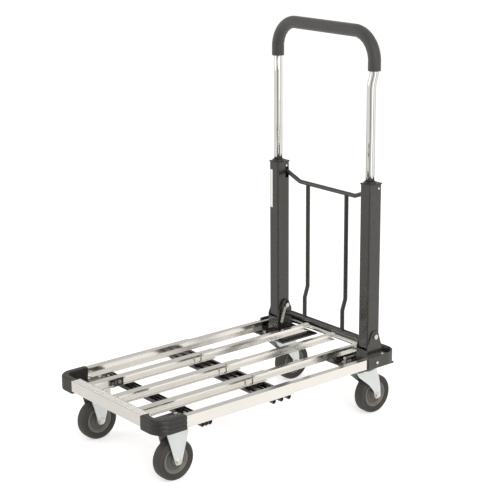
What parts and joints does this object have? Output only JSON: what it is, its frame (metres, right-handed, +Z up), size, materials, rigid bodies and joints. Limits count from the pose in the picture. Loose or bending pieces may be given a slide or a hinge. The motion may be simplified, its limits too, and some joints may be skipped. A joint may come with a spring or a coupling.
{
  "type": "folding platform cart",
  "caption": "Folding platform cart: slatted aluminium deck that extends, upright black handle with telescoping chrome tube and foam grip, rigid and swivel casters.",
  "frame": {"origin": "on the floor below the middle of the object's box", "axes": "+Z up, +X across the deck to the right, +Y along the deck towards the handle; the deck extends towards -Y"},
  "size_m": [0.425, 0.7585, 0.986],
  "materials": {
    "alu": "mill-finish extruded, fine lengthwise grain",
    "chrome": "bright chrome plate",
    "black_paint": "gloss black powder coat",
    "cap_plastic": "moulded black",
    "grip_foam": "soft foam sleeve",
    "tyre": "dark grey rubber",
    "hub": "moulded warm grey",
    "zinc": "bright zinc plate",
    "bolt_steel": "zinc-plated fasteners",
    "bumper": "moulded charcoal, ribbed",
    "label": "plain blank label"
  },
  "bodies": {
    "rear_deck": {"band_bolts": "bolt_steel", "foot_bracket_left": "black_paint", "foot_bracket_right": "black_paint", "kingpins": "bolt_steel", "pivot_bolts": "bolt_steel", "rear_band": "black_paint", "rear_caster_plates": "zinc", "rear_corner_plates": "black_paint", "rear_crossbar": "alu", "rear_inner_rail_center": "alu", "rear_inner_rail_left": "alu", "rear_inner_rail_right": "alu", "rear_outer_rail_left": "alu", "rear_outer_rail_right": "alu", "rear_plate_bolts": "bolt_steel", "stop_bolts": "bolt_steel", "swivel_bearings": "zinc"},
    "front_deck": {"corner_bumper_left": "bumper", "corner_bumper_right": "bumper", "front_axles": "bolt_steel", "front_beam": "alu", "front_corner_plate_left": "black_paint", "front_corner_plate_right": "black_paint", "front_cross_plate": "black_paint", "front_forks": "zinc", "front_inner_rail_center": "alu", "front_inner_rail_left": "alu", "front_inner_rail_right": "alu", "front_outer_rail_left": "alu", "front_outer_rail_right": "alu", "front_plate_bolts": "bolt_steel", "guide_screws": "bolt_steel", "lock_block": "cap_plastic", "middle_cross_plate": "black_paint"},
    "lock_button": {"lock_button": "bolt_steel"},
    "handle": {"blank_label": "label", "cap_rivets": "bolt_steel", "post_caps": "cap_plastic", "post_left": "black_paint", "post_right": "black_paint", "release_spring": "bolt_steel", "tube_guides": "cap_plastic"},
    "grip": {"foam_grip": "grip_foam", "handle_tube": "chrome", "tube_foot_guides": "cap_plastic"},
    "release": {"release_bar": "black_paint", "wire_rack": "black_paint"},
    "wheel_front_right": {"tyre_front_right": "tyre", "hub_front_right": "hub"},
    "wheel_front_left": {"tyre_front_left": "tyre", "hub_front_left": "hub"},
    "wheel_rear_right": {"tyre_rear_right": "tyre", "hub_rear_right": "hub"},
    "wheel_rear_left": {"tyre_rear_left": "tyre", "hub_rear_left": "hub"},
    "caster_right": {"rear_fork_right": "zinc", "rear_axle_right": "bolt_steel"},
    "caster_left": {"rear_fork_left": "zinc", "rear_axle_left": "bolt_steel"}
  },
  "joints": [
    {"name": "deck_extend", "type": "slide", "parent": "rear_deck", "child": "front_deck", "axis": [0, -1, 0], "range_m": [0, 0.3]},
    {"name": "lock_press", "type": "slide", "parent": "front_deck", "child": "lock_button", "axis": [-1, 0, 0], "range_m": [0, 0.003], "stiffness_N_per_m": 300, "springref_m": -0.003},
    {"name": "handle_fold", "type": "hinge", "parent": "rear_deck", "child": "handle", "pos_m": [0, 0.304, 0.215], "axis": [1, 0, 0], "range_deg": [0, 90]},
    {"name": "handle_slide", "type": "slide", "parent": "handle", "child": "grip", "axis": [0, 0, 1], "range_m": [-0.23, 0]},
    {"name": "release_press", "type": "slide", "parent": "handle", "child": "release", "axis": [0, 0, 1], "range_m": [-0.009, 0], "stiffness_N_per_m": 1500, "springref_m": 0.012, "deforming": ["release_spring"]},
    {"name": "front_wheel_spin_right", "type": "hinge", "parent": "front_deck", "child": "wheel_front_right", "pos_m": [0.156, -0.301, 0.05], "axis": [1, 0, 0], "continuous": true},
    {"name": "front_wheel_spin_left", "type": "hinge", "parent": "front_deck", "child": "wheel_front_left", "pos_m": [-0.156, -0.301, 0.05], "axis": [1, 0, 0], "continuous": true},
    {"name": "caster_swivel_right", "type": "hinge", "parent": "rear_deck", "child": "caster_right", "pos_m": [0.156, 0.29, 0.125], "axis": [0, 0, 1], "continuous": true},
    {"name": "rear_wheel_spin_right", "type": "hinge", "parent": "caster_right", "child": "wheel_rear_right", "pos_m": [0.156, 0.329, 0.05], "axis": [1, 0, 0], "continuous": true},
    {"name": "caster_swivel_left", "type": "hinge", "parent": "rear_deck", "child": "caster_left", "pos_m": [-0.156, 0.29, 0.125], "axis": [0, 0, 1], "continuous": true},
    {"name": "rear_wheel_spin_left", "type": "hinge", "parent": "caster_left", "child": "wheel_rear_left", "pos_m": [-0.156, 0.329, 0.05], "axis": [1, 0, 0], "continuous": true}
  ]
}
